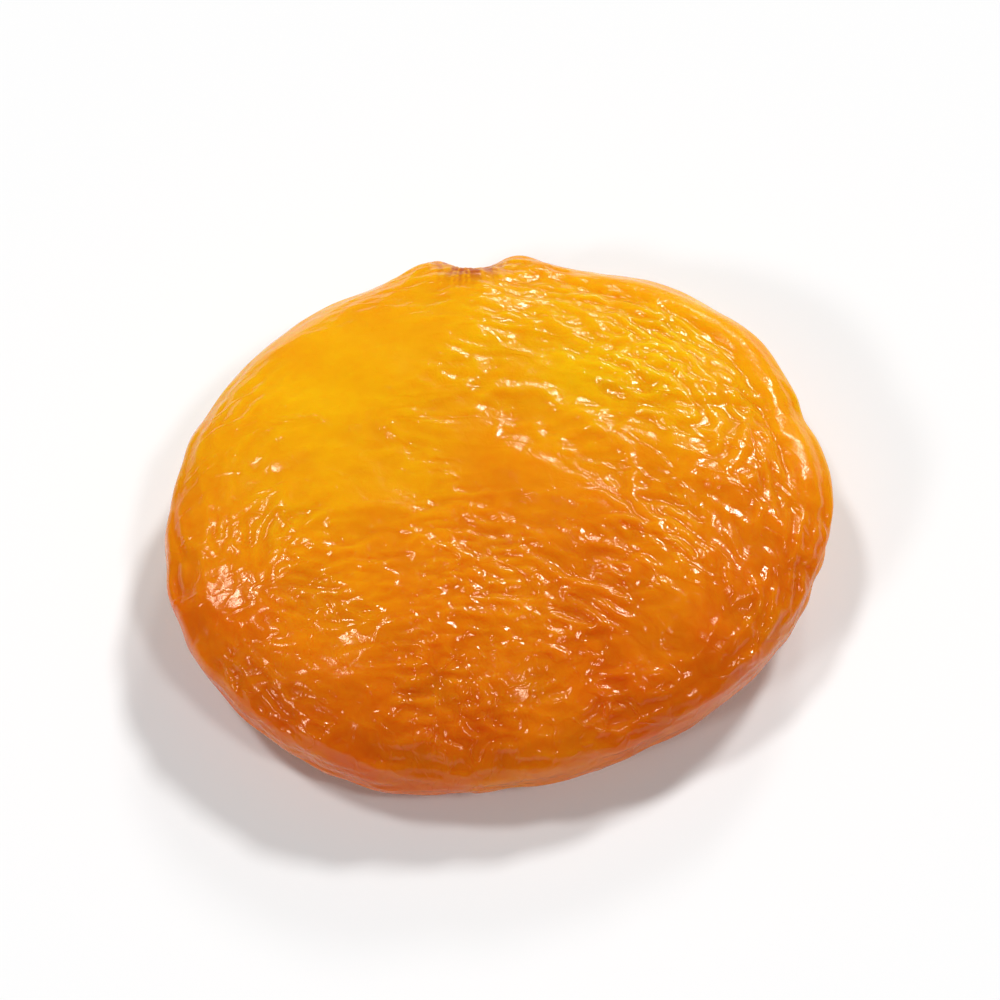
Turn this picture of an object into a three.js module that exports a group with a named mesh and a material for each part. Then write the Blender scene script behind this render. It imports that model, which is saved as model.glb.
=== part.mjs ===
// A dried apricot: a ripe fruit whose stone was squeezed out at the stem end, then pressed flat and dried
// whole. Flesh and skin grew as one piece, so the model is one closed solid. Millimetres, +Z up. It lies on
// a small flat spot at z = 0, with its stem end towards +Y and its wider measure, cheek to cheek, along X.
import * as THREE from 'three';
import { mergeVertices } from 'three/addons/utils/BufferGeometryUtils.js';
import { ImprovedNoise } from 'three/addons/math/ImprovedNoise.js';

// Driving dimensions
const LENGTH = 41.2; // along X, cheek to cheek; the outline's bulges make it 42
const WIDTH = 38; // along Y, from the tip to the stem end, before the bulges and the collar
const UPPER_HEIGHT = 5.1; // from the middle of the rim to the crown of the upper cheek
const UNDER_HEIGHT = 4.6; // from the middle of the rim to the lowest point of the under cheek
const EDGE_FULLNESS = 0.62; // 1 is an ellipse in section, and less has a flatter face and a blunter rim

// Mesh: cells across each face, and rows over the rim. An even number of rows puts one on the slit's line.
const FACE_CELLS = 38;
const RIM_ROWS = 18;
const ROW_CROWDING = 1.3; // above 1, rows close up towards the slit's line

// Flat spot under the middle of the fruit
const SPOT_DEPTH = 0.35; // how far the under cheek is pressed in where it rests
const SPOT_CALM = { full: 4.5, gone: 9 }; // radii between which the skin's relief fades in round the spot

// Hollow over the lost stone, a low broad dip on both cheeks
const HOLLOW = { x: 1.5, y: -1, radius: 9.5, depth: 0.8, underDepth: 0.25 };

// Twist of the whole slab: the two ends lift, and the stem end and tip droop
const SLAB_TWIST = 0.7;

// Stem scar: a pit in a low collar on the rim, with the skin drawn into puckers round it
const SCAR = { azimuth: 94, lift: 1.2, pit: 1.7, pitDepth: 1, collar: 3, collarHeight: 0.5 };
const PUCKERS = { count: 7, height: 0.22, inner: 3, outer: 10 };

// Slit where the stone came out: a fold along the middle of the rim, between an upper and a lower lip
const SLIT = { from: -30, to: 78, fade: 36, depth: 1.4, halfWidth: 0.6, lipHeight: 0.35, lipOffset: 1.9 };

// Raised hem: the shoulder of the upper cheek stands a little proud of the face inside it
const HEM = { from: -20, to: 100, fade: 30, inset: 3.6, width: 1.4, depth: 0.4 };

// Wrinkles run in arcs round a point beyond the tip, so they follow the rim near the stem end. Two sets
// cross each other at a small angle, which breaks the folds into lens-shaped pillows.
const ARC_CENTRE = { x: -7, y: -44 };
const ARC_RADIUS = 44;
const WRINKLES = [
  { spacing: 3.9, turn: 14, height: 0.34, sway: 0.8, swaySize: 9, offset: 3.7 },
  { spacing: 3.6, turn: -31, height: 0.26, sway: 0.7, swaySize: 8, offset: 41.3 },
];
const CREASING = 0.25; // how much narrower the creases are than the folds between them
const PATCHES = { size: 8, offset: 63.2, least: 0.55 }; // wrinkles are strong in patches, weak between
const FOLDS = { size: 9, height: 0.6, offset: 17.1 };
const RIM_CALM = { from: 0.84, to: 0.97, keep: 0.3 }; // the rim's skin is tauter than the face's
const TAUT_PATCH = { x: -9, y: 8, radius: 9, keep: 0.4 }; // the smooth, pale part of the upper cheek

const SKIN_COLOUR = 0xf09a16;

const noise = new ImprovedNoise();

/** Smooth noise between about -1 and 1 that changes over a given size. */
function noiseAt(x, y, z, size, offset) {
  return noise.noise(x / size + offset, y / size + offset, z / size - offset);
}

/** 1 inside the first distance, 0 beyond the second, and smooth between. */
function fadeOut(distance, full, gone) {
  return 1 - THREE.MathUtils.smoothstep(distance, full, gone);
}

/** A bell-shaped bump of height 1. */
function bell(distance, halfWidth) {
  return Math.exp(-((distance / halfWidth) ** 2));
}

/** 1 between two azimuths, in degrees, fading to 0 over a stretch inside each end. */
function alongRim(azimuth, { from, to, fade }) {
  const middle = (from + to) / 2;
  const away = Math.abs(THREE.MathUtils.euclideanModulo(azimuth - middle + 180, 360) - 180);
  return fadeOut(away, (to - from) / 2 - fade, (to - from) / 2);
}

/** The plan's radius as a share of the ellipse: fullest at the lower left, flattest at the upper left. */
function outline(azimuth) {
  const a = THREE.MathUtils.degToRad(azimuth);
  const skewed = 0.04 * Math.cos(2 * a - THREE.MathUtils.degToRad(80));
  const lopsided = 0.022 * Math.cos(3 * a - THREE.MathUtils.degToRad(300));
  const wavy = 0.006 * Math.cos(7 * a + 1) + 0.004 * Math.cos(11 * a);
  return 1 + skewed + lopsided + wavy;
}

/** The pressed fruit without its skin's relief, for a direction from its middle. */
function pressedForm(direction) {
  const azimuth = THREE.MathUtils.radToDeg(Math.atan2(direction.y, direction.x));
  // Even steps of area on a ball become nearly even steps of area on the flattened fruit.
  const fromPole = (Math.PI / 2) * Math.sqrt(1 - Math.abs(direction.z) ** ROW_CROWDING);
  const reach = Math.sin(fromPole) * outline(azimuth);
  const a = THREE.MathUtils.degToRad(azimuth);
  const x = (LENGTH / 2) * reach * Math.cos(a);
  const y = (WIDTH / 2) * reach * Math.sin(a);
  const side = Math.sign(direction.z);
  const height = side > 0 ? UPPER_HEIGHT : UNDER_HEIGHT;
  const fromHollow = Math.hypot(x - HOLLOW.x, y - HOLLOW.y);
  const sunk = (side > 0 ? HOLLOW.depth : HOLLOW.underDepth) * bell(fromHollow, HOLLOW.radius);
  const twist = SLAB_TWIST * ((2 * x / LENGTH) ** 2 - (2 * y / WIDTH) ** 2);
  const z = side * (height * Math.cos(fromPole) ** EDGE_FULLNESS - sunk) + twist;
  return { point: new THREE.Vector3(x, y, z), azimuth, side, reach: Math.sin(fromPole), twist };
}

/** Wrinkled skin: rounded folds with narrower creases between them, in waves that sway as they run. */
function wrinkles({ x, y, z }) {
  const radius = Math.hypot(x - ARC_CENTRE.x, y - ARC_CENTRE.y);
  const arc = Math.atan2(x - ARC_CENTRE.x, y - ARC_CENTRE.y) * ARC_RADIUS;
  let wave = 0;
  for (const { spacing, turn, height, sway, swaySize, offset } of WRINKLES) {
    const slant = THREE.MathUtils.degToRad(turn);
    const across = radius * Math.cos(slant) + arc * Math.sin(slant);
    const swayed = across / spacing + sway * noiseAt(x, y, 1.5 * z, swaySize, offset);
    wave += height * Math.cos(2 * Math.PI * swayed);
  }
  const total = WRINKLES.reduce((sum, { height }) => sum + height, 0);
  const patch = noiseAt(x, y, z, PATCHES.size, PATCHES.offset);
  const strength = THREE.MathUtils.mapLinear(patch, -0.5, 0.5, PATCHES.least, 1);
  return strength * (wave - (CREASING * wave * wave) / total);
}

/** Height of the stem scar's pit, collar and puckers. */
function stemScar(point) {
  const a = THREE.MathUtils.degToRad(SCAR.azimuth);
  const centre = new THREE.Vector3((LENGTH / 2) * Math.cos(a), (WIDTH / 2) * Math.sin(a), SCAR.lift);
  const distance = point.distanceTo(centre);
  const around = Math.atan2(point.x - centre.x, point.z - centre.z - (point.y - centre.y));
  const pit = -SCAR.pitDepth * bell(distance, SCAR.pit);
  const collar = SCAR.collarHeight * bell(distance - SCAR.collar, SCAR.collar * 0.6);
  const begun = THREE.MathUtils.smoothstep(distance, 0, PUCKERS.inner);
  const drawn = begun * fadeOut(distance, PUCKERS.inner * 2, PUCKERS.outer);
  return pit + collar + PUCKERS.height * drawn * Math.cos(PUCKERS.count * around);
}

/** Height of the rim's slit, with its two lips. */
function rimSlit({ azimuth, point, twist, reach }) {
  const above = point.z - twist;
  const open = alongRim(azimuth, SLIT) * THREE.MathUtils.smoothstep(reach, 0.85, 0.97);
  const lips = SLIT.lipHeight * (bell(above - SLIT.lipOffset, 1.3) + bell(above + SLIT.lipOffset, 1.3));
  return open * (lips - SLIT.depth * bell(above, SLIT.halfWidth));
}

/** Height of the hem: a shallow trough that runs round inside the shoulder of the upper cheek. */
function hem({ azimuth, side, reach }) {
  const inset = (1 - reach) * (LENGTH / 2);
  return side > 0 ? -HEM.depth * alongRim(azimuth, HEM) * bell(inset - HEM.inset, HEM.width) : 0;
}

/** The skin's height above the pressed form at one place. */
function relief(form) {
  const { point, side, reach } = form;
  const fromPatch = Math.hypot(point.x - TAUT_PATCH.x, point.y - TAUT_PATCH.y);
  const taut = side > 0 ? (1 - TAUT_PATCH.keep) * bell(fromPatch, TAUT_PATCH.radius) : 0;
  const rim = (1 - RIM_CALM.keep) * THREE.MathUtils.smoothstep(reach, RIM_CALM.from, RIM_CALM.to);
  const spot = side < 0 ? fadeOut(Math.hypot(point.x, point.y), SPOT_CALM.full, SPOT_CALM.gone) : 0;
  const folds = FOLDS.height * noiseAt(point.x, point.y, point.z, FOLDS.size, FOLDS.offset);
  const skin = (1 - taut) * (1 - rim) * wrinkles(point) + folds;
  return (1 - spot) * skin + stemScar(point) + rimSlit(form) + hem(form);
}

/** Even directions from a cube's grid, as a closed mesh whose shared corners are merged. */
function ballOfCells() {
  const box = new THREE.BoxGeometry(2, 2, 2, FACE_CELLS, FACE_CELLS, RIM_ROWS);
  box.deleteAttribute('normal');
  box.deleteAttribute('uv');
  const ball = mergeVertices(box, 1e-4);
  const corner = new THREE.Vector3();
  const places = ball.attributes.position;
  for (let i = 0; i < places.count; i++) {
    corner.fromBufferAttribute(places, i);
    corner.set(...corner.toArray().map((c) => Math.tan((c * Math.PI) / 4))).normalize();
    places.setXYZ(i, corner.x, corner.y, corner.z);
  }
  return ball;
}

/** Each four-sided cell, cut into two triangles along its shorter diagonal. */
function cutAcrossShorter(geometry) {
  const places = geometry.attributes.position;
  const ends = [new THREE.Vector3(), new THREE.Vector3()];
  const apart = (...pair) => {
    pair.forEach((i, end) => ends[end].fromBufferAttribute(places, i));
    return ends[0].distanceTo(ends[1]);
  };
  const cut = [];
  for (let i = 0; i < geometry.index.count; i += 6) {
    const [a, b, d, , c] = geometry.index.array.slice(i, i + 6);
    cut.push(...(apart(a, c) < apart(b, d) ? [a, b, c, a, c, d] : [a, b, d, b, c, d]));
  }
  geometry.setIndex(cut);
}

/** The whole fruit: the ball pressed flat, its skin raised in relief, and the flat spot pressed in below. */
function apricotGeometry() {
  const geometry = ballOfCells();
  const places = geometry.attributes.position;
  const forms = [];
  for (let i = 0; i < places.count; i++) {
    const form = pressedForm(new THREE.Vector3().fromBufferAttribute(places, i));
    forms.push(form);
    places.setXYZ(i, form.point.x, form.point.y, form.point.z);
  }
  geometry.computeVertexNormals();
  const outward = new THREE.Vector3();
  forms.forEach((form, i) => {
    outward.fromBufferAttribute(geometry.attributes.normal, i);
    form.point.addScaledVector(outward, relief(form));
  });
  const floor = -UNDER_HEIGHT + SPOT_DEPTH;
  forms.forEach(({ point }, i) => places.setXYZ(i, point.x, point.y, Math.max(point.z, floor) - floor));
  geometry.computeBoundingBox();
  const middle = geometry.boundingBox.getCenter(new THREE.Vector3());
  geometry.translate(-middle.x, -middle.y, 0);
  cutAcrossShorter(geometry);
  geometry.computeVertexNormals();
  return geometry;
}

const skin = new THREE.MeshStandardMaterial({ color: SKIN_COLOUR, roughness: 0.35, metalness: 0 });
const apricot = new THREE.Mesh(apricotGeometry(), skin);
apricot.name = 'apricot';

const part = new THREE.Group();
part.add(apricot);

export default part;
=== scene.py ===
import logging
import math
from dataclasses import dataclass
from enum import Enum

import bmesh
import bpy
import numpy as np
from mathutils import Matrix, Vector


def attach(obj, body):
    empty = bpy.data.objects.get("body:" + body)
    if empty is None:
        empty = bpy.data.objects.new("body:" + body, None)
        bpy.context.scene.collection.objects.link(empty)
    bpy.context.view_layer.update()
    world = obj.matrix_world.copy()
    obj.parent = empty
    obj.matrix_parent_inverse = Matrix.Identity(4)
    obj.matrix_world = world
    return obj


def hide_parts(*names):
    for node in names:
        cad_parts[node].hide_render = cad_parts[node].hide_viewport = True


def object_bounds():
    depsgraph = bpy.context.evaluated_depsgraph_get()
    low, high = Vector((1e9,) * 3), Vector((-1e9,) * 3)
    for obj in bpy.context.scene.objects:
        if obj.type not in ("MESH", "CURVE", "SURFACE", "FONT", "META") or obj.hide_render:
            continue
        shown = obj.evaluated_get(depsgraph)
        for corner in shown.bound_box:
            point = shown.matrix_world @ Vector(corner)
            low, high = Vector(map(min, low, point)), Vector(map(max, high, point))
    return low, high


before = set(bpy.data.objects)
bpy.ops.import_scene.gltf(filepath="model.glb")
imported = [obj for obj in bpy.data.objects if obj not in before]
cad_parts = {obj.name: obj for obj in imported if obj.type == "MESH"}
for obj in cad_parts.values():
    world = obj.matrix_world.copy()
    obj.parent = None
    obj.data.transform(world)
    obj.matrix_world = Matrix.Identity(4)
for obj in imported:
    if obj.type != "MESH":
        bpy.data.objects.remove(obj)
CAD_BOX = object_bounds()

MM = 0.001
NODE = "apricot"
TINY = 1e-9  # keeps a division by a length or an area off zero
NOISE_MIDDLE = 0.5  # the value that a noise lies round
MIX_FROM, MIX_TO, MIXED = 6, 7, 2  # the colour sockets of a Mix node, by number
log = logging.getLogger("apricot")


def linear(srgb_hex: str) -> tuple[float, float, float, float]:
    """Turns a colour's sRGB hex value into linear red, green, blue and alpha.

    Args:
        srgb_hex: Six hex digits, such as "F7B20B".

    Returns:
        The linear colour, with an alpha of 1.
    """
    # the standard's own curve: straight near black, and a power above that
    straight_to, slope, offset, power = 0.04045, 12.92, 0.055, 2.4
    shares = [int(srgb_hex[i:i + 2], 16) / 255 for i in (0, 2, 4)]
    light = [c / slope if c <= straight_to else ((c + offset) / (1 + offset)) ** power for c in shares]
    return (light[0], light[1], light[2], 1.0)


def per_metre(size_mm: float) -> float:
    """The Scale of a texture whose features are size_mm across."""
    return 1 / (size_mm * MM)


def add_node(
    tree: bpy.types.NodeTree,
    kind: str,
    settings: dict[str, object] | None = None,
    inputs: dict[str | int, object] | None = None,
) -> bpy.types.Node:
    """Adds a node with its settings and its inputs.

    Args:
        tree: The node tree that gets the node.
        kind: The node's type, such as "ShaderNodeTexNoise".
        settings: Properties of the node, by name.
        inputs: Values or output sockets for its inputs, by name or number.

    Returns:
        The new node.
    """
    node = tree.nodes.new(kind)
    for name, value in (settings or {}).items():
        setattr(node, name, value)
    for name, value in (inputs or {}).items():
        if isinstance(value, bpy.types.NodeSocket):
            tree.links.new(value, node.inputs[name])
        else:
            node.inputs[name].default_value = value
    return node


def smoothstep(values: np.ndarray, low: float, high: float) -> np.ndarray:
    """Rises smoothly from 0 at low to 1 at high, or falls where low is above high."""
    share = np.clip((values - low) / (high - low), 0, 1)
    return share * share * (3 - 2 * share)


def bell(distances: np.ndarray, half_width: float) -> np.ndarray:
    """A bell-shaped bump of height 1 round a distance of 0."""
    return np.exp(-((distances / half_width) ** 2))


@dataclass(frozen=True)
class Wave:
    """A sine wave that makes a line wander.

    Attributes:
        height: Its height.
        rate: Its rate, in radians a unit.
        start: Where in its round it starts, in radians.
    """

    height: float
    rate: float
    start: float = 0.0

    def at(self, values: np.ndarray) -> np.ndarray:
        """The wave's height at each value."""
        return self.height * np.sin(self.rate * values + self.start)


@dataclass(frozen=True)
class Stretch:
    """A stretch of the rim or of a ridge, seen from above.

    Attributes:
        start: The azimuth where it starts, in degrees from +X.
        end: The azimuth where it ends.
        fade: Over how many degrees it fades in from each end.
    """

    start: float
    end: float
    fade: float

    def presence(self, azimuth: np.ndarray) -> np.ndarray:
        """From 0 outside the stretch to 1 in it."""
        started = smoothstep(azimuth, self.start, self.start + self.fade)
        return started * smoothstep(azimuth, self.end, self.end - self.fade)


class SkinMap(Enum):
    """The maps that the mesh carries for its material."""

    BLUSH_AND_SHADE = "pale"  # 0 where the flesh is deep orange from the sun and from painted shade, 1 where it is yellow and painted light
    CREASE = "crease"  # painted shade: 1 deep in a crease between two folds
    SCAR = "scar"  # 1 in the dried stem scar
    DRY = "dry"  # 1 where the skin has lost its wet gloss
    WRINKLED = "wrinkled"  # 1 where the skin is wrinkled, 0 where it is taut
    ARCS = "arcs"  # the place along and across the wrinkles' arcs, in mm


class Crest(Enum):
    """The cut across a wrinkle."""

    ROUND = "round"  # a broad fold, with a crease on both sides
    THIN = "thin"  # a narrow ridge, standing on smooth skin


@dataclass(frozen=True)
class WrinkleSet:
    """One size of wrinkle.

    Attributes:
        spacing: From crest to crest, in mm.
        height: From crease to crest, in mm.
        stretch: How many times longer a fold is than it is wide.
        crest: The cut across it.
        sharpness: For a round crest, over 1 is a sharp one. For a thin one, its share of the spacing.
        rounds: How many times the pattern is grown and pressed back.
        seed: Seed of the first, random unevenness.
    """

    spacing: float
    height: float
    stretch: float
    crest: Crest
    sharpness: float
    rounds: int
    seed: int

    def profile(self, pattern: np.ndarray) -> np.ndarray:
        """Turns a pattern into heights.

        Args:
            pattern: A value from -1 to 1 for each point.

        Returns:
            The wrinkles' heights above the skin, in mm.
        """
        if self.crest is Crest.THIN:
            return self.height * bell(pattern, self.sharpness)
        # half of a round fold's height lies below the skin
        return self.height * (((1 + pattern) / 2) ** self.sharpness - 0.5)


@dataclass
class Grain:
    """How wrinkles run over the skin.

    Attributes:
        ways: The way that they run at each point, as unit vectors.
        stretch: How many times longer than elsewhere they are at each point.
        coarseness: How many times wider than elsewhere they are at each point.
    """

    ways: np.ndarray
    stretch: np.ndarray
    coarseness: np.ndarray


class Skin:
    """The skin's points as arrays in mm, with the slow spreading that wrinkles grow by."""

    OUTLINE_STEPS = 120  # directions in which the outline is measured
    LEAST_PULL = 0.02  # keeps neighbours linked across the thinnest triangle
    PACE_PERCENT = 98  # the share of the points that set the pace of the spreading
    CHEEK_RISE = 0.8  # how far the flat of a cheek faces up or down
    RIM_RISE = 0.3  # how far the rim still does
    PRESS = 1.6  # how hard a growing height is pressed against its limit
    ROUNDING = 0.15  # how long the last spreading is, as a share of the first ones
    REGAIN = 1.1  # makes up for the height that the last spreading takes

    def __init__(self, mesh: bpy.types.Mesh) -> None:
        """Reads a closed mesh of triangles.

        Args:
            mesh: The mesh, in metres.
        """
        self.mesh = mesh
        count = len(mesh.vertices)
        self.points = self._read(mesh.vertices, "co", count)
        self.points *= 1 / MM
        self.normals = self._read(mesh.vertex_normals, "vector", count)
        self.corners = self._read(mesh.loops, "vertex_index", len(mesh.loops), 1, np.int32)
        self.corners = self.corners.reshape(-1, 3)

    @staticmethod
    def _read(
        items: object, name: str, count: int, width: int = 3, kind: type = np.float32
    ) -> np.ndarray:
        """Reads one property of every item into an array.

        Args:
            items: A collection of the mesh.
            name: The property's name.
            count: How many items there are.
            width: How many numbers each item has.
            kind: The numbers' type.

        Returns:
            One row an item, in double precision where the numbers aren't whole.
        """
        flat = np.empty(count * width, dtype=kind)
        items.foreach_get(name, flat)
        if kind is np.float32:
            flat = flat.astype(np.float64)
        return flat.reshape(count, width)

    @property
    def x(self) -> np.ndarray:
        """Each point's place along X, in mm."""
        return self.points[:, 0]

    @property
    def y(self) -> np.ndarray:
        """Each point's place along Y, in mm."""
        return self.points[:, 1]

    @property
    def reach(self) -> np.ndarray:
        """Each point's distance from the middle on the plan, in mm."""
        return np.hypot(self.x, self.y)

    @property
    def azimuth(self) -> np.ndarray:
        """Each point's direction from the middle on the plan, in degrees from +X."""
        return np.degrees(np.arctan2(self.y, self.x))

    @property
    def rise(self) -> np.ndarray:
        """How far each point faces up: 1 on the upper cheek, 0 on the rim, -1 beneath."""
        return self.normals[:, 2]

    @property
    def steepness(self) -> np.ndarray:
        """From 0 on the flat of a cheek to 1 on the rim."""
        return smoothstep(np.abs(self.rise), self.CHEEK_RISE, self.RIM_RISE)

    def insets(self) -> np.ndarray:
        """Measures the skin from its outline inwards.

        Returns:
            How far inside the outline each point lies on the plan, in mm.
        """
        steps = self.OUTLINE_STEPS
        bins = ((self.azimuth / 360 + 0.5) * steps).astype(int) % steps
        outline = np.zeros(steps)
        np.maximum.at(outline, bins, self.reach)
        middles = (np.arange(steps) + 0.5) / steps * 360 - 180
        return np.interp(self.azimuth, middles, outline, period=360) - self.reach

    def set_grain(self, grain: Grain, stretch: float) -> None:
        """Works out how fast a height spreads from each point to its neighbours.

        Args:
            grain: How the wrinkles run.
            stretch: How many times further a height spreads along them than across them.
        """
        stretched = stretch * grain.stretch[self.corners].mean(axis=1)[:, None]
        along = grain.ways[self.corners].mean(axis=1)
        along /= np.linalg.norm(along, axis=1, keepdims=True) + TINY
        a, b, c = (self.points[self.corners[:, i]] for i in range(3))
        # each triangle is shortened along the grain, so that a height crosses it sooner
        sides = []
        for side in (c - b, a - c, b - a):
            part = np.einsum("ij,ij->i", side, along)[:, None] * along
            sides.append(side - (1 - 1 / stretched) * part)
        area = np.linalg.norm(np.cross(sides[0], sides[1]), axis=1) / 2 + TINY
        local = area / grain.coarseness[self.corners].mean(axis=1) ** 2
        # the pull along a side is half the cotangent of the corner that faces it
        starts, ends, pulls = [], [], []
        for i in range(3):
            before, after = sides[(i + 1) % 3], sides[(i + 2) % 3]
            pull = -np.einsum("ij,ij->i", before, after) / (4 * area)
            pulls.append(np.maximum(pull, self.LEAST_PULL))
            starts.append(self.corners[:, (i + 1) % 3])
            ends.append(self.corners[:, (i + 2) % 3])
        self.start, self.end = np.concatenate(starts), np.concatenate(ends)
        self.pull = np.concatenate(pulls)
        count = len(self.points)
        share = np.bincount(self.corners.ravel(), np.repeat(local / 3, 3), count)
        total = np.bincount(self.start, self.pull, count) + np.bincount(self.end, self.pull, count)
        self.pace = np.percentile(total / share, self.PACE_PERCENT)
        # the few points that would need a quicker pace are slowed down to it
        self.share = np.maximum(share, total / self.pace)

    def spread(self, heights: np.ndarray, time: float) -> np.ndarray:
        """Lets the heights even out between neighbours, as heat would.

        Args:
            heights: One height a point.
            time: How long, in square mm.

        Returns:
            The evened heights.
        """
        count = len(heights)
        steps = max(1, math.ceil(time * self.pace))
        for _ in range(steps):
            flow = self.pull * (heights[self.end] - heights[self.start])
            change = np.bincount(self.start, flow, count) - np.bincount(self.end, flow, count)
            heights = heights + time / steps * change / self.share
        return heights

    def grow(self, wrinkles: WrinkleSet, grain: Grain) -> np.ndarray:
        """Grows winding folds of an even spacing out of a random unevenness.

        A fold is held up by what lies near it and pushed down by what lies further off, and its height
        has a limit. So a pattern of the set's own spacing wins over all others, as in drying skin.

        Args:
            wrinkles: The size of the folds.
            grain: How they run.

        Returns:
            A height from -1 in the creases to 1 on the crests for each point.
        """
        self.set_grain(grain, wrinkles.stretch)
        # in this time a fold of the set's spacing evens out by half
        near = math.log(2) / (2 * math.pi / wrinkles.spacing) ** 2
        heights = np.random.default_rng(wrinkles.seed).normal(size=len(self.points))
        for _ in range(wrinkles.rounds):
            close = self.spread(heights, near)
            heights = close - self.spread(close, near)
            heights = np.tanh(self.PRESS * heights / heights.std())
        return np.clip(self.spread(heights, near * self.ROUNDING) * self.REGAIN, -1, 1)

    def relax(self, time: float, share: np.ndarray) -> None:
        """Evens out the solid's own folds, so that finer ones can take their place.

        Args:
            time: How long the points' places spread, in square mm.
            share: How much of the change each point takes, from 0 to 1.
        """
        even = np.ones(len(self.points))
        self.set_grain(Grain(np.zeros_like(self.points), even, even), 1.0)
        for axis in range(3):
            change = self.spread(self.points[:, axis], time) - self.points[:, axis]
            self.points[:, axis] += share * change
        self.displace(np.zeros(len(self.points)))

    def displace(self, amounts: np.ndarray) -> None:
        """Moves every point along its normal, but none below the surface that the fruit rests on.

        Args:
            amounts: How far out each point goes, in mm.
        """
        self.points += amounts[:, None] * self.normals
        self.points[:, 2] = np.maximum(self.points[:, 2], 0)
        self.mesh.vertices.foreach_set("co", (self.points * MM).ravel())
        self.mesh.update()
        self.normals = self._read(self.mesh.vertex_normals, "vector", len(self.points))

    def keep_map(self, name: SkinMap, values: np.ndarray) -> None:
        """Stores one of the material's maps on the mesh.

        Args:
            name: The map.
            values: One number or one vector for each point.
        """
        kind, socket = ("FLOAT", "value") if values.ndim == 1 else ("FLOAT_VECTOR", "vector")
        layer = self.mesh.attributes.new(name.value, kind, "POINT")
        layer.data.foreach_set(socket, values.astype(np.float32).ravel())


@dataclass(frozen=True)
class Spot:
    """A round, soft-edged place on the skin where something differs.

    Attributes:
        x: Its place on the plan, in mm.
        y: Its place on the plan, in mm.
        radius: Its radius, in mm.
        value: What holds in its middle, such as the share of the wrinkles that are left there.
    """

    x: float
    y: float
    radius: float
    value: float

    def presence(self, skin: Skin) -> np.ndarray:
        """From 0 to 1, how far each point lies in the place."""
        return bell(np.hypot(skin.x - self.x, skin.y - self.y), self.radius)

    def share(self, skin: Skin) -> np.ndarray:
        """From 1 outside the place to its value in the middle."""
        return 1 - (1 - self.value) * self.presence(skin)


@dataclass(frozen=True)
class Cloud:
    """A cloudy unevenness of the skin.

    Attributes:
        size_mm: How large its patches are.
        detail: How many finer layers lie over them.
        amount: How much it adds, in paleness or in mm of height, where it adds to something.
        twist: How far its patches are twisted.
    """

    size_mm: float
    detail: float
    amount: float = 1.0
    twist: float = 0.0

    def inputs(self, place: bpy.types.NodeSocket) -> dict[str, object]:
        """Gives the inputs of a noise that draws it.

        Args:
            place: Object coordinates.

        Returns:
            The inputs, by name.
        """
        return {
            "Vector": place,
            "Scale": per_metre(self.size_mm),
            "Detail": self.detail,
            "Distortion": self.twist,
        }


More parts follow.
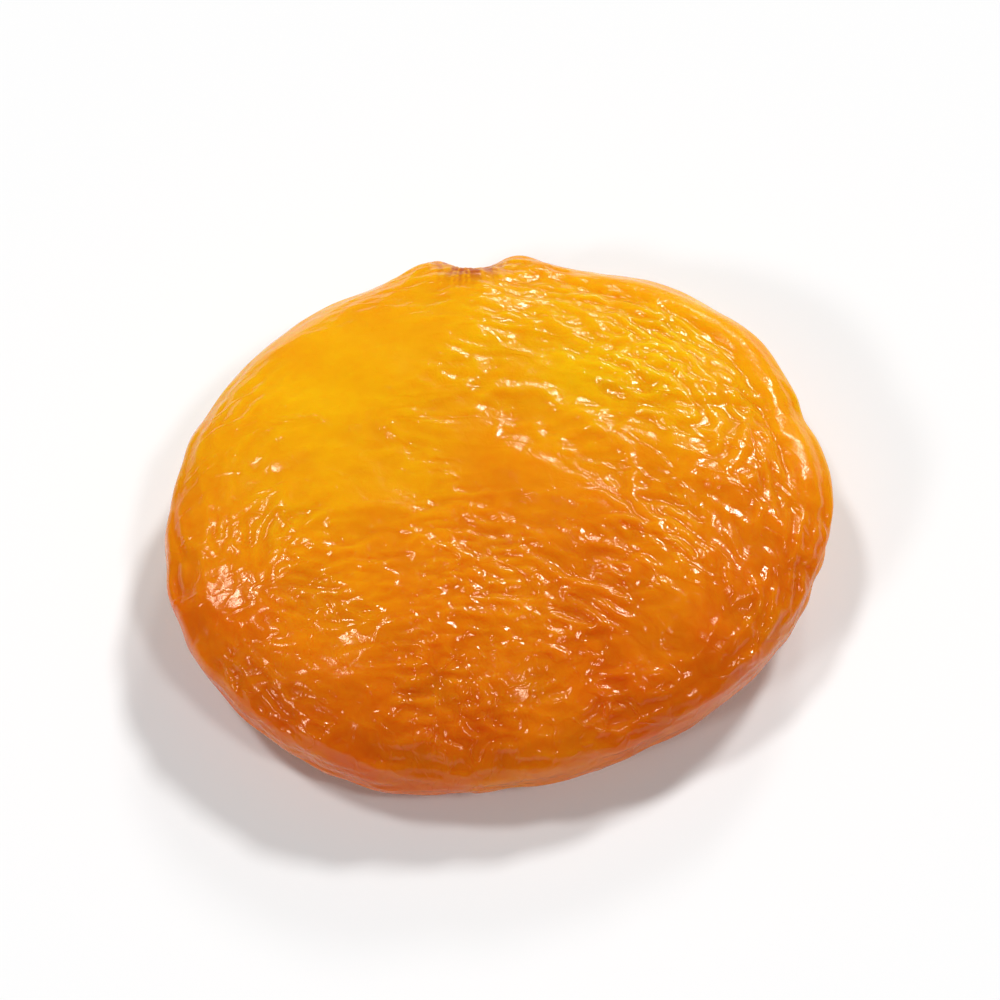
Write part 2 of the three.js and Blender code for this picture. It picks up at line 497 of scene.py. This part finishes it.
@dataclass(frozen=True)
class DriedApricotSkin:
    """Dried apricot: soft, sugary flesh under a thin moist skin, sun-dried.

    Light sinks into the flesh and glows back orange, and yellow where the fruit is pale. The skin's
    wet gloss gives small sharp glints on each fold, and the dried stem scar is a dull brown.

    Attributes:
        pale: The yellowest flesh, which had the least sun, and painted light.
        ripe: The flesh in between.
        blushed_and_shaded: The deepest orange flesh, which had the most sun, and painted shade.
        crease: Painted shade: the darker colour laid on the skin deep in a crease.
        frayed: The edge of the stem scar.
        scar: The middle of the stem scar.
        tones: How pale the blushed, the ripe and the pale flesh are, on the map's scale.
        scar_tones: From which values of the scar's map on the skin turns frayed, and then brown.
        mottle: The cloudy patches in the colour.
        flecks: The small flecks in the colour.
        pores: The pores. Real ones are finer, and are drawn this coarse so that they show.
        wetness: The wetter and drier patches.
        wetness_range: The values of their noise at which the skin is wettest and driest.
        gloss: The roughness of the wettest skin and of the driest.
        dry_roughness: How much rougher a dry place is.
        ridge_mm: The length and the width of a hair-thin ridge.
        ridge_detail: How many finer layers lie over the ridges.
        ridge_twist: How far the ridges are twisted.
        ridge_share: How much of the pattern a ridge takes up.
        ridge_height_mm: A ridge's height.
        glow: The share of the light that sinks into the flesh.
        glow_mm: How far red light travels in it.
        glow_reach: How far red, green and blue light travel, as shares of that.
        ior: That of a sugary skin.
        specular: Its specular level, lowered because oil and sugar lie on it in beads.
        glint: The tint of the glints.
    """

    # the pale end of the ramp also stands for painted light, the deep orange end for painted shade
    pale: str = "F4C208"
    ripe: str = "EA9208"
    blushed_and_shaded: str = "D45704"
    # painted shade: the colour laid deep in the creases
    crease: str = "C2520A"
    frayed: str = "B4580C"
    scar: str = "7C4A14"
    tones: tuple[float, float, float] = (0.22, 0.55, 0.95)
    scar_tones: tuple[float, float] = (0.05, 0.4)
    mottle: Cloud = Cloud(6.0, 1.5, 0.36)
    flecks: Cloud = Cloud(0.9, 1.0, 0.1)
    pores: Cloud = Cloud(0.45, 2.0, 0.03, 0.6)
    wetness: Cloud = Cloud(4.0, 2.0)
    wetness_range: tuple[float, float] = (0.3, 0.7)
    gloss: tuple[float, float] = (0.09, 0.21)
    dry_roughness: float = 0.4
    ridge_mm: tuple[float, float] = (2.8, 1.5)
    ridge_detail: float = 1.0
    ridge_twist: float = 0.5
    ridge_share: float = 0.12
    ridge_height_mm: float = 0.045
    glow: float = 1.0
    glow_mm: float = 3.5
    glow_reach: tuple[float, float, float] = (1.0, 0.5, 0.1)
    ior: float = 1.45
    specular: float = 0.36
    glint: str = "FFE6CE"

    def make(self) -> bpy.types.Material:
        """Makes the material.

        Returns:
            The material, whose patterns read Object coordinates and the mesh's own maps.
        """
        material = bpy.data.materials.new("dried_apricot_skin")
        material.use_nodes = True
        tree = material.node_tree
        place = add_node(tree, "ShaderNodeTexCoord").outputs["Object"]
        maps = {}
        for name in SkinMap:
            stored = add_node(tree, "ShaderNodeAttribute", {"attribute_name": name.value})
            maps[name] = stored.outputs["Vector" if name is SkinMap.ARCS else "Fac"]
        shader = tree.nodes["Principled BSDF"]
        tree.links.new(self._colour(tree, place, maps), shader.inputs["Base Color"])
        tree.links.new(self._roughness(tree, place, maps[SkinMap.DRY]), shader.inputs["Roughness"])
        tree.links.new(self._normal(tree, place, maps), shader.inputs["Normal"])
        constants = {
            "IOR": self.ior,
            "Specular IOR Level": self.specular,
            "Specular Tint": linear(self.glint),
            "Subsurface Weight": self.glow,
            "Subsurface Radius": self.glow_reach,
            "Subsurface Scale": self.glow_mm * MM,
        }
        for name, value in constants.items():
            shader.inputs[name].default_value = value
        return material

    def _colour(
        self,
        tree: bpy.types.NodeTree,
        place: bpy.types.NodeSocket,
        maps: dict[SkinMap, bpy.types.NodeSocket],
    ) -> bpy.types.NodeSocket:
        """Adds the nodes of the colour.

        Args:
            tree: The material's nodes.
            place: Object coordinates.
            maps: The mesh's maps.

        Returns:
            The colour.
        """
        paleness = maps[SkinMap.BLUSH_AND_SHADE]
        for cloud in (self.mottle, self.flecks):
            noise = add_node(tree, "ShaderNodeTexNoise", inputs=cloud.inputs(place))
            added = add_node(
                tree,
                "ShaderNodeMath",
                {"operation": "MULTIPLY_ADD"},
                {0: noise.outputs["Fac"], 1: cloud.amount, 2: paleness},
            )
            paleness = added.outputs[0]
        # the paleness carries painted light and shade as well as the blush, the mottle and the flecks
        ramp = add_node(tree, "ShaderNodeValToRGB", inputs={"Fac": paleness})
        stops = ramp.color_ramp.elements
        stops[0].position, stops[0].color = self.tones[0], linear(self.blushed_and_shaded)
        stops[1].position, stops[1].color = self.tones[2], linear(self.pale)
        stops.new(self.tones[1]).color = linear(self.ripe)
        # painted shade: the crease colour is mixed in deep in the creases
        crease_shaded = add_node(
            tree,
            "ShaderNodeMix",
            {"data_type": "RGBA"},
            {"Factor": maps[SkinMap.CREASE], MIX_FROM: ramp.outputs["Color"], MIX_TO: linear(self.crease)},
        )
        colour = crease_shaded.outputs[MIXED]
        frayed_from, brown_from = self.scar_tones
        for low, high, tone in ((frayed_from, brown_from, self.frayed), (brown_from, 1.0, self.scar)):
            share = add_node(
                tree,
                "ShaderNodeMapRange",
                inputs={"Value": maps[SkinMap.SCAR], "From Min": low, "From Max": high},
            )
            browned = add_node(
                tree,
                "ShaderNodeMix",
                {"data_type": "RGBA"},
                {"Factor": share.outputs["Result"], MIX_FROM: colour, MIX_TO: linear(tone)},
            )
            colour = browned.outputs[MIXED]
        return colour

    def _roughness(
        self, tree: bpy.types.NodeTree, place: bpy.types.NodeSocket, dry: bpy.types.NodeSocket
    ) -> bpy.types.NodeSocket:
        """Adds the nodes of the roughness: wet skin with duller patches, and dry places.

        Args:
            tree: The material's nodes.
            place: Object coordinates.
            dry: The map of the dry places.

        Returns:
            The roughness.
        """
        patches = add_node(tree, "ShaderNodeTexNoise", inputs=self.wetness.inputs(place))
        wet = add_node(
            tree,
            "ShaderNodeMapRange",
            inputs={
                "Value": patches.outputs["Fac"],
                "From Min": self.wetness_range[0],
                "From Max": self.wetness_range[1],
                "To Min": self.gloss[0],
                "To Max": self.gloss[1],
            },
        )
        dried = add_node(
            tree,
            "ShaderNodeMath",
            {"operation": "MULTIPLY_ADD"},
            {0: dry, 1: self.dry_roughness, 2: wet.outputs["Result"]},
        )
        return dried.outputs[0]

    def _normal(
        self,
        tree: bpy.types.NodeTree,
        place: bpy.types.NodeSocket,
        maps: dict[SkinMap, bpy.types.NodeSocket],
    ) -> bpy.types.NodeSocket:
        """Adds the nodes of the finest relief: pores, and hair-thin ridges along the wrinkles' arcs.

        The ridges stand where a stretched noise passes its middle value.

        Args:
            tree: The material's nodes.
            place: Object coordinates.
            maps: The mesh's maps.

        Returns:
            The normal.
        """
        length, width = self.ridge_mm
        drawn = add_node(
            tree,
            "ShaderNodeVectorMath",
            {"operation": "MULTIPLY"},
            {0: maps[SkinMap.ARCS], 1: (1 / length, 1 / width, 1 / width)},
        )
        pattern = add_node(
            tree,
            "ShaderNodeTexNoise",
            inputs={
                "Vector": drawn.outputs["Vector"],
                "Scale": 1.0,
                "Detail": self.ridge_detail,
                "Distortion": self.ridge_twist,
            },
        )
        middle = add_node(
            tree,
            "ShaderNodeMath",
            {"operation": "SUBTRACT"},
            {0: pattern.outputs["Fac"], 1: NOISE_MIDDLE},
        )
        away = add_node(tree, "ShaderNodeMath", {"operation": "ABSOLUTE"}, {0: middle.outputs[0]})
        ridges = add_node(
            tree,
            "ShaderNodeMapRange",
            {"interpolation_type": "SMOOTHSTEP"},
            {
                "Value": away.outputs[0],
                "From Min": self.ridge_share,
                "From Max": 0.0,
                "To Max": self.ridge_height_mm * MM,
            },
        )
        kept = add_node(
            tree,
            "ShaderNodeMath",
            {"operation": "MULTIPLY"},
            {0: ridges.outputs["Result"], 1: maps[SkinMap.WRINKLED]},
        )
        pores = add_node(tree, "ShaderNodeTexNoise", inputs=self.pores.inputs(place))
        height = add_node(
            tree,
            "ShaderNodeMath",
            {"operation": "MULTIPLY_ADD"},
            {0: pores.outputs["Fac"], 1: self.pores.amount * MM, 2: kept.outputs[0]},
        )
        bump = add_node(tree, "ShaderNodeBump", inputs={"Height": height.outputs[0], "Distance": 1.0})
        return bump.outputs["Normal"]


@dataclass(frozen=True)
class StemScar:
    """The dry, frayed scar where the fruit hung.

    Attributes:
        centre: Its place, in mm.
        half_width: How far it reaches along the rim, in mm.
        half_height: How far it reaches across the rim, in mm.
        fray_spacing: From one dry fibre to the next, in mm.
        fray_height: How far the fibres stand out, in mm.
        fray_waves: How they wander along the rim, in mm.
        fray_lean: How they lean from side to side, in mm.
        fray_slant: How much faster they do so up the rim than along it.
        pit_depth: How deep its middle lies, in mm.
        pit_power: How steeply it falls to that depth.
        brown: How brown it is, and how much less so on the fibres.
        lip: The dry lip beside it, with how brown that is.
    """

    centre: tuple[float, float, float] = (-2.1, 17.6, 6.8)
    half_width: float = 1.9
    half_height: float = 2.5
    fray_spacing: float = 0.58
    fray_height: float = 0.07
    fray_waves: tuple[Wave, ...] = (Wave(0.25, 2.6, 1), Wave(0.12, 7))
    fray_lean: Wave = Wave(0.3, 1.0)
    fray_slant: float = 1.9
    pit_depth: float = 0.25
    pit_power: int = 3
    brown: tuple[float, float] = (0.6, 0.3)
    lip: Spot = Spot(3.0, 18.4, 2.4, 0.15)

    def presence(self, skin: Skin) -> np.ndarray:
        """From 0 to 1, how far each point lies in the scar."""
        along, back, up = (skin.points - np.array(self.centre)).T
        return bell(np.hypot(along / self.half_width, np.hypot(back, up) / self.half_height), 1.0)

    def fibres(self, skin: Skin) -> np.ndarray:
        """Draws the dry fibres, which run up the rim.

        Args:
            skin: The skin to work on.

        Returns:
            From -1 between two fibres to 1 on a fibre, for each point.
        """
        along, _, up = (skin.points - np.array(self.centre)).T
        wander = self.fray_lean.at(self.fray_slant * up + along)
        wander += sum(wave.at(along) for wave in self.fray_waves)
        return np.cos(2 * math.pi * (along + wander) / self.fray_spacing)

    def relief(self, skin: Skin) -> np.ndarray:
        """The scar's height above the skin, in mm."""
        presence = self.presence(skin)
        return presence * self.fray_height * self.fibres(skin) - presence**self.pit_power * self.pit_depth

    def darkness(self, skin: Skin) -> np.ndarray:
        """Browns the scar, more so between its fibres, and the dry lip beside it.

        Args:
            skin: The skin to work on.

        Returns:
            How brown each point is, from 0 to 1.
        """
        between, on_fibres = self.brown
        scar = self.presence(skin) * (between - on_fibres * self.fibres(skin))
        return scar + self.lip.value * self.lip.presence(skin)


@dataclass(frozen=True)
class Hem:
    """The smooth, rounded hem of the upper cheek, with a soft crease inside it.

    Attributes:
        stretch: Where on the rim it is.
        inset: How far the crease lies from the outline, in mm.
        width: The crease's half width, in mm.
        depth: The crease's depth, in mm.
        roll: How far the hem stands up beside it, as a share of the depth.
        edge: How near to the outline the hem is all smooth, as a share of the inset.
        rise: How far the skin faces up where the hem starts, and where it is all there.
        smooth: How much of the wrinkles the hem loses.
        dryness: How much of its wet gloss it loses.
    """

    stretch: Stretch = Stretch(-15, 88, 25)
    inset: float = 2.9
    width: float = 0.5
    depth: float = 0.22
    roll: float = 0.5
    edge: float = 0.7
    rise: tuple[float, float] = (0.0, 0.4)
    smooth: float = 0.8
    dryness: float = 0.15

    def presence(self, skin: Skin) -> np.ndarray:
        """From 0 to 1, how far the hem is there, at each point's azimuth on the upper cheek."""
        return self.stretch.presence(skin.azimuth) * smoothstep(skin.rise, *self.rise)

    def relief(self, skin: Skin) -> np.ndarray:
        """Cuts the crease and rounds the hem between it and the outline.

        Args:
            skin: The skin to work on.

        Returns:
            The hem's height above the skin, in mm.
        """
        inset = skin.insets()
        crease = bell(inset - self.inset, self.width)
        # the roll's crest lies midway between the two, and is twice as wide as the crease
        roll = self.roll * bell(inset - self.inset / 2, self.width * 2)
        return self.presence(skin) * self.depth * (roll - crease)

    def band(self, skin: Skin) -> np.ndarray:
        """From 0 to 1, how far each point lies between the crease and the outline."""
        return self.presence(skin) * smoothstep(skin.insets(), self.inset, self.inset * self.edge)


@dataclass(frozen=True)
class Arc:
    """A long, thin ridge round the hollow over the lost stone.

    Attributes:
        radius: Its distance from the hollow's middle, in mm.
        start: Where it starts, in degrees from +X.
        end: Where it ends.
        height: Its height, in mm.
    """

    radius: float
    start: float
    end: float
    height: float


@dataclass(frozen=True)
class Hollow:
    """The thin ridges that ring the hollow where the stone lay.

    Attributes:
        x: The hollow's middle on the plan, in mm.
        y: The hollow's middle on the plan, in mm.
        half_width: The ridges' half width, in mm.
        fade: How far a ridge fades in from each end, in degrees.
        waves: How a ridge wanders, in mm, over the degrees that it turns.
        rise: How far the skin faces up where the ridges start, and where they are all there.
        arcs: The ridges.
    """

    x: float = 1.0
    y: float = -1.5
    half_width: float = 0.45
    fade: float = 22
    waves: tuple[Wave, ...] = (Wave(0.4, 1 / 11), Wave(0.2, 1 / 4, 1))
    rise: tuple[float, float] = (0.2, 0.6)
    arcs: tuple[Arc, ...] = (
        Arc(4.4, 20, 125, 0.13),
        Arc(7.1, 2, 130, 0.17),
        Arc(8.7, 92, 150, 0.11),
        Arc(10.1, 12, 82, 0.17),
        Arc(12.3, 28, 100, 0.13),
    )

    def relief(self, skin: Skin) -> np.ndarray:
        """Works out the ridges, which are on the upper cheek only.

        Args:
            skin: The skin to work on.

        Returns:
            Their height above the skin, in mm.
        """
        x, y = skin.x - self.x, skin.y - self.y
        azimuth, reach = np.degrees(np.arctan2(y, x)), np.hypot(x, y)
        wander = sum(wave.at(azimuth) for wave in self.waves)
        height = np.zeros(len(x))
        for arc in self.arcs:
            ends = Stretch(arc.start, arc.end, self.fade).presence(azimuth)
            height += arc.height * ends * bell(reach - arc.radius - wander, self.half_width)
        return height * smoothstep(skin.rise, *self.rise)


@dataclass(frozen=True)
class BlushAndShade:
    """Pale stem end, deep orange tip, a bit deeper rim: the flesh's blush, with painted light and shade in
    it.

    Attributes:
        least: The paleness at the tip.
        gain: How much paler the stem end is.
        tip: Where along Y the flesh starts to grow paler, in mm.
        stem: Where it is palest, in mm.
        rim: How much deeper the rim is.
        rim_start: Where the rim starts, in mm from the middle.
        rim_end: Where it has its full colour.
        spots: Paler places, with how much paler they are.
    """

    least: float = 0.14
    gain: float = 0.35
    tip: float = -13
    stem: float = 11
    rim: float = 0.05
    rim_start: float = 13
    rim_end: float = 19
    spots: tuple[Spot, ...] = (Spot(-12, -1, 9, 0.17), Spot(9, 8, 6, 0.16))

    def paleness(self, skin: Skin) -> np.ndarray:
        """Colours the flesh, with its painted light and shade.

        Args:
            skin: The skin to work on.

        Returns:
            How yellow the flesh is at each point, on the scale of the finish's tones.
        """
        # painted light and shade along Y, on top of the blush: paler towards the stem end, deeper orange
        # towards the tip
        paleness = self.least + self.gain * smoothstep(skin.y, self.tip, self.stem)
        paleness -= self.rim * smoothstep(skin.reach, self.rim_start, self.rim_end)
        return paleness + sum(spot.value * spot.presence(skin) for spot in self.spots)


@dataclass
class Apricot:
    """The whole dried fruit, made from the frame's own solid with its finer wrinkles raised on it.

    Attributes:
        weld: How close two corners of the loose triangles are to be one point, in mm.
        rounding: How many times each refining rounds the mesh.
        rounding_share: How far a rounding pulls a point towards the middle of its neighbours.
        relaxing: How long the solid's own folds are evened out, in square mm.
        folds: The broad folds.
        lines: The long ridges.
        beads: The smallest wrinkles, which give most of the glints.
        wrinkled: Places where the skin is more or less wrinkled than elsewhere.
        coarse: Places where the wrinkles are finer or coarser.
        upper: How far the skin faces up where those places start, and where they have their full effect.
        patches: The waves over X and over Y that place the patches of small wrinkles.
        patch_bends: The waves that bend those, so that no patch repeats another.
        patch_range: The waves' sum between the patches, and in the middle of one.
        patch_least: The share of the small wrinkles between the patches.
        ridge_least: The share of the hair-thin ridges between the patches.
        arc_centre: The middle of the arcs that the wrinkles run in, in mm on the plan.
        rim_reach: Where the wrinkles start to follow the rim, and where they do so most, in mm.
        rim_following: How far they then follow it.
        rim_stretch: How much longer they are on the rim.
        rim_calm: How much shallower they are on the rim.
        beneath: How far the skin faces up where the underside starts, and where it is all there.
        spot_reach: Where the skin starts to be smooth round the flat spot, and is all smooth, in mm.
        crease_shade_depth: How much of the painted crease shade the deepest creases take.
        scar: The stem scar.
        hem: The hem of the upper cheek.
        hollow: The ridges round the hollow.
        blush_and_shade: The flesh's colour: its blush, with painted light and shade.
        finish: The skin's material.
    """

    weld: float = 0.002
    rounding: int = 2
    rounding_share: float = 0.5
    relaxing: float = 0.5
    folds: WrinkleSet = WrinkleSet(3.2, 0.1, 1.8, Crest.ROUND, 1.2, 6, 11)
    lines: WrinkleSet = WrinkleSet(2.7, 0.085, 2.3, Crest.THIN, 0.78, 5, 5)
    beads: WrinkleSet = WrinkleSet(1.1, 0.14, 2.0, Crest.ROUND, 1.3, 3, 23)
    wrinkled: tuple[Spot, ...] = (
        Spot(-11, 9, 9, 0.12),
        Spot(-14, -10, 6, 0.65),
        Spot(1.5, 3.5, 5, 0.4),
        Spot(9, 8, 6, 1.5),
        Spot(13, -2, 5, 1.3),
        Spot(4, -11, 6, 1.3),
    )
    coarse: tuple[Spot, ...] = (Spot(9, 9, 8, 0.8), Spot(-4, -10, 6, 0.8), Spot(2, 3, 6, 1.2))
    upper: tuple[float, float] = (-0.3, 0.2)
    patches: tuple[Wave, Wave] = (Wave(1, 0.62), Wave(1, 0.55, 2))
    patch_bends: tuple[Wave, Wave] = (Wave(2.1, 0.41, 0.5), Wave(2.2, 0.5))
    patch_range: tuple[float, float] = (1.2, -0.9)
    patch_least: float = 0.35
    ridge_least: float = 0.4
    arc_centre: tuple[float, float] = (-3, -26)
    rim_reach: tuple[float, float] = (9, 18)
    rim_following: float = 0.75
    rim_stretch: float = 1.5
    rim_calm: float = 0.4
    beneath: tuple[float, float] = (0.0, -0.5)
    spot_reach: tuple[float, float] = (9, 5)
    crease_shade_depth: float = 0.04
    scar: StemScar = StemScar()
    hem: Hem = Hem()
    hollow: Hollow = Hollow()
    blush_and_shade: BlushAndShade = BlushAndShade()
    finish: DriedApricotSkin = DriedApricotSkin()

    def build(self) -> bpy.types.Object:
        """Builds the fruit.

        Returns:
            The finished piece, which stands for the frame's node.
        """
        mesh = bpy.data.meshes.new(NODE + "_skin")
        bm = bmesh.new()
        bm.from_mesh(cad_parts[NODE].data)
        bmesh.ops.remove_doubles(bm, verts=bm.verts, dist=self.weld * MM)
        self._refine(bm, mesh)
        self._raise_folds(Skin(mesh))
        bm = bmesh.new()
        bm.from_mesh(mesh)
        self._refine(bm, mesh)
        self._raise_small_wrinkles(Skin(mesh))
        mesh.shade_smooth()
        mesh.materials.append(self.finish.make())
        piece = bpy.data.objects.new("dried_apricot", mesh)
        bpy.context.scene.collection.objects.link(piece)
        return piece

    def _refine(self, bm: bmesh.types.BMesh, mesh: bpy.types.Mesh) -> None:
        """Cuts each triangle into four, rounds the result and writes it to the mesh.

        Args:
            bm: The mesh to refine, which is freed.
            mesh: The mesh that gets the result.
        """
        bmesh.ops.subdivide_edges(bm, edges=bm.edges, cuts=1, use_grid_fill=True)
        for _ in range(self.rounding):
            bmesh.ops.smooth_vert(
                bm,
                verts=bm.verts,
                factor=self.rounding_share,
                use_axis_x=True,
                use_axis_y=True,
                use_axis_z=True,
            )
        bmesh.ops.triangulate(bm, faces=bm.faces)
        bm.to_mesh(mesh)
        bm.free()

    def _raise_folds(self, skin: Skin) -> None:
        """Evens out the solid's own folds on both cheeks and raises the broad folds instead.

        Args:
            skin: The skin, refined once.
        """
        skin.relax(self.relaxing, 1 - skin.steepness)
        folds = skin.grow(self.folds, self._grain(skin))
        skin.displace(self._strength(skin) * self.folds.profile(folds))

    def _raise_small_wrinkles(self, skin: Skin) -> None:
        """Raises the small wrinkles, the scar, the hem and the arcs, and keeps the material's maps.

        Args:
            skin: The skin, refined twice.
        """
        grain = self._grain(skin)
        lines, beads = skin.grow(self.lines, grain), skin.grow(self.beads, grain)
        strength, patches = self._strength(skin), self._patches(skin)
        maps = {
            # the flesh's blush, with painted light and shade in it
            SkinMap.BLUSH_AND_SHADE: self.blush_and_shade.paleness(skin),
            # painted shade, deepest in the creases of the smallest wrinkles
            SkinMap.CREASE: self.crease_shade_depth * strength * smoothstep(beads, 0.0, -1.0),
            SkinMap.SCAR: self.scar.darkness(skin),
            SkinMap.DRY: np.maximum(self.scar.presence(skin), self.hem.dryness * self.hem.band(skin)),
            SkinMap.WRINKLED: strength * (self.ridge_least + (1 - self.ridge_least) * patches),
            SkinMap.ARCS: self._arcs(skin),
        }
        wrinkles = self.lines.profile(lines) + patches * self.beads.profile(beads)
        shape = self.scar.relief(skin) + self.hem.relief(skin) + self.hollow.relief(skin)
        skin.displace(strength * wrinkles + shape)
        for name, values in maps.items():
            skin.keep_map(name, values)

    def _grain(self, skin: Skin) -> Grain:
        """Works out how the wrinkles run: in arcs over the cheeks and along the rim.

        Args:
            skin: The skin to work on.

        Returns:
            The grain of all its points.
        """
        arcs = np.stack([self.arc_centre[1] - skin.y, skin.x - self.arc_centre[0], 0 * skin.x], axis=1)
        rim = np.stack([-skin.y, skin.x, 0 * skin.x], axis=1)
        arcs /= np.linalg.norm(arcs, axis=1, keepdims=True)
        rim /= np.linalg.norm(rim, axis=1, keepdims=True) + TINY
        following = self.rim_following * smoothstep(skin.reach, *self.rim_reach)
        outer = np.maximum(skin.steepness, following)[:, None]
        same = np.sign(np.einsum("ij,ij->i", arcs, rim))[:, None]
        ways = arcs * (1 - outer) + rim * same * outer
        ways /= np.linalg.norm(ways, axis=1, keepdims=True) + TINY
        coarseness = np.prod([spot.share(skin) for spot in self.coarse], axis=0)
        return Grain(ways, 1 + self.rim_stretch * skin.steepness, coarseness)

    def _arcs(self, skin: Skin) -> np.ndarray:
        """Measures the skin along and across the arcs that the wrinkles run in.

        Args:
            skin: The skin to measure.

        Returns:
            Each point's place along its arc, its distance from the arcs' centre and its height, in mm.
        """
        x, y = skin.x - self.arc_centre[0], skin.y - self.arc_centre[1]
        along = np.arctan2(x, y) * abs(self.arc_centre[1])
        return np.stack([along, np.hypot(x, y), skin.points[:, 2]], axis=1)

    def _patches(self, skin: Skin) -> np.ndarray:
        """Lays out the patches, a few mm wide, that the smallest wrinkles come in.

        Args:
            skin: The skin to work on.

        Returns:
            The share of the smallest wrinkles that each point has.
        """
        over_x, over_y = self.patches
        bend_x, bend_y = self.patch_bends
        waves = over_x.at(skin.x + bend_x.at(skin.y)) + over_y.at(skin.y + bend_y.at(skin.x))
        return self.patch_least + (1 - self.patch_least) * smoothstep(waves, *self.patch_range)

    def _strength(self, skin: Skin) -> np.ndarray:
        """Works out how deep the wrinkles are.

        Args:
            skin: The skin to work on.

        Returns:
            1 where a wrinkle has its full height, for each point.
        """
        upper = smoothstep(skin.rise, *self.upper)
        strength = 1 - self.rim_calm * skin.steepness
        for spot in self.wrinkled:
            strength *= 1 - upper * (1 - spot.share(skin))
        strength *= 1 - self.hem.smooth * self.hem.band(skin)
        beneath = smoothstep(skin.rise, *self.beneath)
        return strength * (1 - beneath * smoothstep(skin.reach, *self.spot_reach))


@dataclass(frozen=True)
class Softbox:
    """A far, soft studio light, as the fruit sees it.

    Attributes:
        name: What the light does.
        azimuth: Where it stands, in degrees from +X towards +Y.
        elevation: Its height above the floor, in degrees.
        width: How wide it looks, in degrees.
        strength: Its light on a surface that faces it.
    """

    name: str
    azimuth: float
    elevation: float
    width: float
    strength: float

    def build(self) -> None:
        """Adds the light."""
        turn, rise = math.radians(self.azimuth), math.radians(self.elevation)
        level = math.cos(rise)
        towards = Vector((math.cos(turn) * level, math.sin(turn) * level, math.sin(rise)))
        lamp = bpy.data.lights.new(self.name, "SUN")
        lamp.angle = math.radians(self.width)
        lamp.energy = self.strength
        holder = bpy.data.objects.new(self.name, lamp)
        holder.rotation_mode = "QUATERNION"
        holder.rotation_quaternion = towards.to_track_quat("Z", "Y")
        bpy.context.scene.collection.objects.link(holder)


@dataclass(frozen=True)
class WhitePaper:
    """Matt white paper, uncoated: it gives the eye nothing but the fruit's shadow.

    Attributes:
        colour: Its colour, a little below pure white.
        roughness: That of bare fibres.
        specular: Its specular level, low because it has no coating.
    """

    colour: str = "F6F6F6"
    roughness: float = 0.9
    specular: float = 0.1

    def make(self) -> bpy.types.Material:
        """Makes the material.

        Returns:
            The material, which has no pattern.
        """
        paper = bpy.data.materials.new("white_paper")
        paper.use_nodes = True
        shader = paper.node_tree.nodes["Principled BSDF"]
        shader.inputs["Base Color"].default_value = linear(self.colour)
        shader.inputs["Roughness"].default_value = self.roughness
        shader.inputs["Specular IOR Level"].default_value = self.specular
        return paper


@dataclass
class Studio:
    """A pale floor and soft studio light, with the camera looking down on the fruit.

    Attributes:
        elevation: The camera's height above the floor, in degrees.
        lens: Its focal length, in mm.
        sensor: The width of its sensor, in mm.
        sight: The nearest and the furthest that it sees, in m.
        fill: How much of the picture's width the fruit takes up.
        floor_size: Half the floor's width, in m.
        room: The light that comes in from all sides.
        white: What is seen past the floor.
        paper: What lies on the floor.
        softboxes: The lights.
    """

    elevation: float = 60.0
    lens: float = 85.0
    sensor: float = 36.0
    sight: tuple[float, float] = (0.01, 10.0)
    fill: float = 0.66
    floor_size: float = 6.0
    room: float = 0.11
    white: str = "FFFFFF"
    paper: WhitePaper = WhitePaper()
    softboxes: tuple[Softbox, ...] = (
        Softbox("key", 55, 46, 9, 1.56),
        Softbox("back", 76, 31, 9, 0.54),
        Softbox("side", 152, 63, 9, 0.92),
        Softbox("left", 218, 34, 9, 0.6),
        Softbox("front", 328, 57, 9, 0.57),
    )

    def build(self) -> None:
        """Builds the floor, the lights and the camera."""
        # shows each colour at its full strength, as the photo does
        bpy.context.scene.view_settings.view_transform = "Standard"
        self._floor()
        self._world()
        for softbox in self.softboxes:
            softbox.build()
        self._camera()

    def _floor(self) -> None:
        """Lays the floor, which is part of the stage and not of the fruit."""
        bm = bmesh.new()
        bmesh.ops.create_grid(bm, x_segments=1, y_segments=1, size=self.floor_size)
        mesh = bpy.data.meshes.new("floor")
        bm.to_mesh(mesh)
        bm.free()
        mesh.materials.append(self.paper.make())
        floor = bpy.data.objects.new("floor", mesh)
        bpy.context.scene.collection.objects.link(floor)

    def _world(self) -> None:
        """Makes a room that looks white past the floor and sends in a little light from all sides."""
        world = bpy.data.worlds.new("white_room")
        bpy.context.scene.world = world
        world.use_nodes = True
        tree = world.node_tree
        seen = add_node(tree, "ShaderNodeLightPath").outputs["Is Camera Ray"]
        strength = add_node(
            tree, "ShaderNodeMapRange", inputs={"Value": seen, "To Min": self.room, "To Max": 1.0}
        )
        background = tree.nodes["Background"]
        background.inputs["Color"].default_value = linear(self.white)
        tree.links.new(strength.outputs["Result"], background.inputs["Strength"])

    def _camera(self) -> None:
        """Adds the camera, in front of the fruit and above it, as far off as the fruit's width asks."""
        low, high = CAD_BOX
        angle = math.radians(self.elevation)
        back = Vector((0, -math.cos(angle), math.sin(angle)))
        distance = (high.x - low.x) / self.fill / (self.sensor / self.lens)
        data = bpy.data.cameras.new("camera")
        data.lens, data.sensor_width = self.lens, self.sensor
        data.clip_start, data.clip_end = self.sight
        camera = bpy.data.objects.new("camera", data)
        camera.location = (low + high) / 2 + back * distance
        camera.rotation_mode = "QUATERNION"
        camera.rotation_quaternion = (-back).to_track_quat("-Z", "Y")
        bpy.context.scene.collection.objects.link(camera)
        bpy.context.scene.camera = camera


def main() -> None:
    """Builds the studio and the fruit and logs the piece."""
    logging.basicConfig(level=logging.INFO, format="%(name)s: %(message)s")
    Studio().build()
    log.info("studio: floor, lights and camera")
    piece = Apricot().build()
    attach(piece, "root")
    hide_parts(NODE)
    log.info("%s: %d faces", piece.name, len(piece.data.polygons))


if __name__ == "__main__":
    main()
